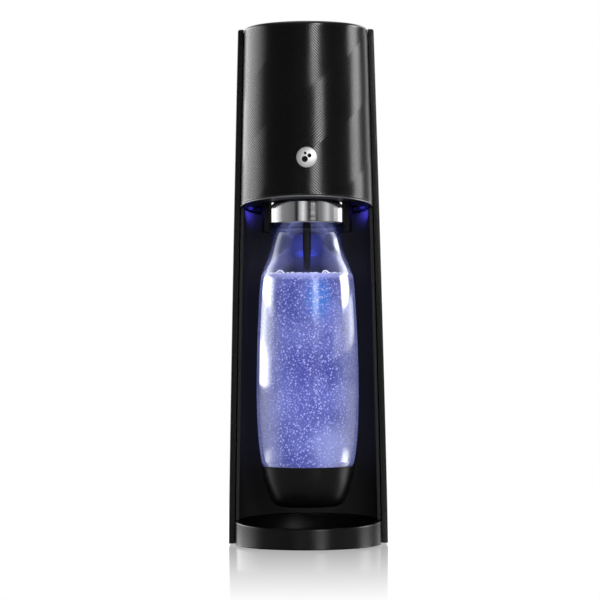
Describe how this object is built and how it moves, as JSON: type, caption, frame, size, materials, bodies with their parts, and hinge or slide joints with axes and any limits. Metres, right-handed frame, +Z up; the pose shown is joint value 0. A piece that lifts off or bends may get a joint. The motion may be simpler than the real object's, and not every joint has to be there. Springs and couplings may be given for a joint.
{
  "type": "soda carbonator",
  "caption": "Tall countertop carbonator with a tilting clear bottle, lit bay, textured head, dose buttons and a gas cylinder behind a removable rear cover.",
  "frame": {"origin": "on the ground under the middle of the whole machine", "axes": "+Z up, +X across the machine, -Y towards its front"},
  "size_m": [0.133, 0.186, 0.432],
  "materials": {
    "shell_black": "satin",
    "gloss_black": "gloss",
    "matte_black": "matte",
    "inner_grey": "matte",
    "brushed_trim": "satin",
    "steel": "satin",
    "cylinder_grey": "satin",
    "brass": "satin",
    "rubber": "matte",
    "silicone": "matte",
    "board_green": "satin",
    "lever_pink": "satin",
    "light_blue": "gloss",
    "clear_bottle": "gloss",
    "water": "polished",
    "nylon": "satin"
  },
  "bodies": {
    "housing": {"base_shell": "shell_black", "bottom_cover": "matte_black", "power_inlet": "gloss_black", "front_left_foot": "rubber", "front_right_foot": "rubber", "rear_left_foot": "rubber", "rear_right_foot": "rubber", "front_left_screw": "steel", "front_right_screw": "steel", "rear_left_screw": "steel", "rear_right_screw": "steel", "left_cover_pin": "steel", "right_cover_pin": "steel", "bay_wall": "shell_black", "left_side_panel": "gloss_black", "right_side_panel": "gloss_black", "head_front_cover": "shell_black", "badge": "brushed_trim", "top_cover": "gloss_black", "control_board": "board_green", "underside_panel": "matte_black", "left_light_lens": "light_blue", "right_light_lens": "light_blue", "chassis": "inner_grey", "cylinder_cradle": "rubber", "valve_block": "inner_grey", "pin_return_spring": "steel", "relief_valve": "brass", "gas_elbow": "brass", "gas_hose": "rubber", "wire_harness": "rubber", "cam_shaft": "steel", "dose_motor": "steel", "gear_bracket": "inner_grey"},
    "drip_tray": {"drip_tray": "matte_black"},
    "low_fizz_button": {"low_fizz_button": "brushed_trim"},
    "medium_fizz_button": {"medium_fizz_button": "brushed_trim"},
    "high_fizz_button": {"high_fizz_button": "brushed_trim"},
    "carrier": {"carrier_body": "matte_black", "collar_trim": "brushed_trim", "nozzle_block": "inner_grey", "nozzle_tube": "gloss_black", "bottle_seal": "silicone"},
    "bottle": {"bottle_body": "clear_bottle", "bottle_base_cup": "matte_black", "sparkling_water": "water"},
    "gas_cylinder": {"gas_cylinder": "cylinder_grey", "cylinder_valve": "brass"},
    "cylinder_lever": {"cylinder_lever": "lever_pink"},
    "cam_gear": {"cam_gear": "nylon"},
    "motor_pinion": {"motor_pinion": "brass"},
    "push_pin": {"push_pin": "steel"},
    "rear_cover": {"rear_cover": "shell_black"},
    "cover_release": {"cover_release": "gloss_black"}
  },
  "joints": [
    {"name": "bottle_tilt", "type": "hinge", "parent": "housing", "child": "carrier", "pos_m": [0, -0.02, 0.3], "axis": [-1, 0, 0], "range_deg": [0, 18]},
    {"name": "bottle_release", "type": "slide", "parent": "carrier", "child": "bottle", "axis": [0, 0, -1], "range_m": [0, 0.006]},
    {"name": "low_fizz_press", "type": "slide", "parent": "housing", "child": "low_fizz_button", "axis": [0, 0, -1], "range_m": [0, 0.0012], "stiffness_N_per_m": 500, "springref_m": -0.001},
    {"name": "medium_fizz_press", "type": "slide", "parent": "housing", "child": "medium_fizz_button", "axis": [0, 0, -1], "range_m": [0, 0.0012], "stiffness_N_per_m": 500, "springref_m": -0.001},
    {"name": "high_fizz_press", "type": "slide", "parent": "housing", "child": "high_fizz_button", "axis": [0, 0, -1], "range_m": [0, 0.0012], "stiffness_N_per_m": 500, "springref_m": -0.001},
    {"name": "cover_tilt", "type": "hinge", "parent": "housing", "child": "rear_cover", "pos_m": [0, 0.084, 0.009], "axis": [-1, 0, 0], "range_deg": [0, 20]},
    {"name": "cover_release_press", "type": "slide", "parent": "rear_cover", "child": "cover_release", "axis": [0, -1, 0], "range_m": [0, 0.002], "stiffness_N_per_m": 500, "springref_m": -0.001},
    {"name": "cylinder_lever_lift", "type": "hinge", "parent": "housing", "child": "cylinder_lever", "pos_m": [0, 0.048, 0.386], "axis": [1, 0, 0], "range_deg": [0, 50]},
    {"name": "cylinder_drop", "type": "slide", "parent": "housing", "child": "gas_cylinder", "axis": [0, 0, -1], "range_m": [0, 0.006]},
    {"name": "drip_tray_lift", "type": "slide", "parent": "housing", "child": "drip_tray", "axis": [0, 0, 1], "range_m": [0, 0.016]},
    {"name": "cam_turn", "type": "hinge", "parent": "housing", "child": "cam_gear", "pos_m": [0, 0.056, 0.41], "axis": [0, 1, 0], "range_deg": [0, 70]},
    {"name": "motor_pinion_turn", "type": "hinge", "parent": "housing", "child": "motor_pinion", "pos_m": [0.0203, 0.06, 0.41], "axis": [0, 1, 0], "range_deg": [-210.5, 0]},
    {"name": "push_pin_press", "type": "slide", "parent": "housing", "child": "push_pin", "axis": [0, 0, -1], "range_m": [0, 0.0025]}
  ],
  "couplings": [
    {"joint": "cylinder_drop", "follows": "cylinder_lever_lift", "m_per_rad": 0.006875},
    {"joint": "motor_pinion_turn", "follows": "cam_turn", "ratio": -3},
    {"joint": "push_pin_press", "follows": "cam_turn", "m_per_rad": 0.002046}
  ]
}
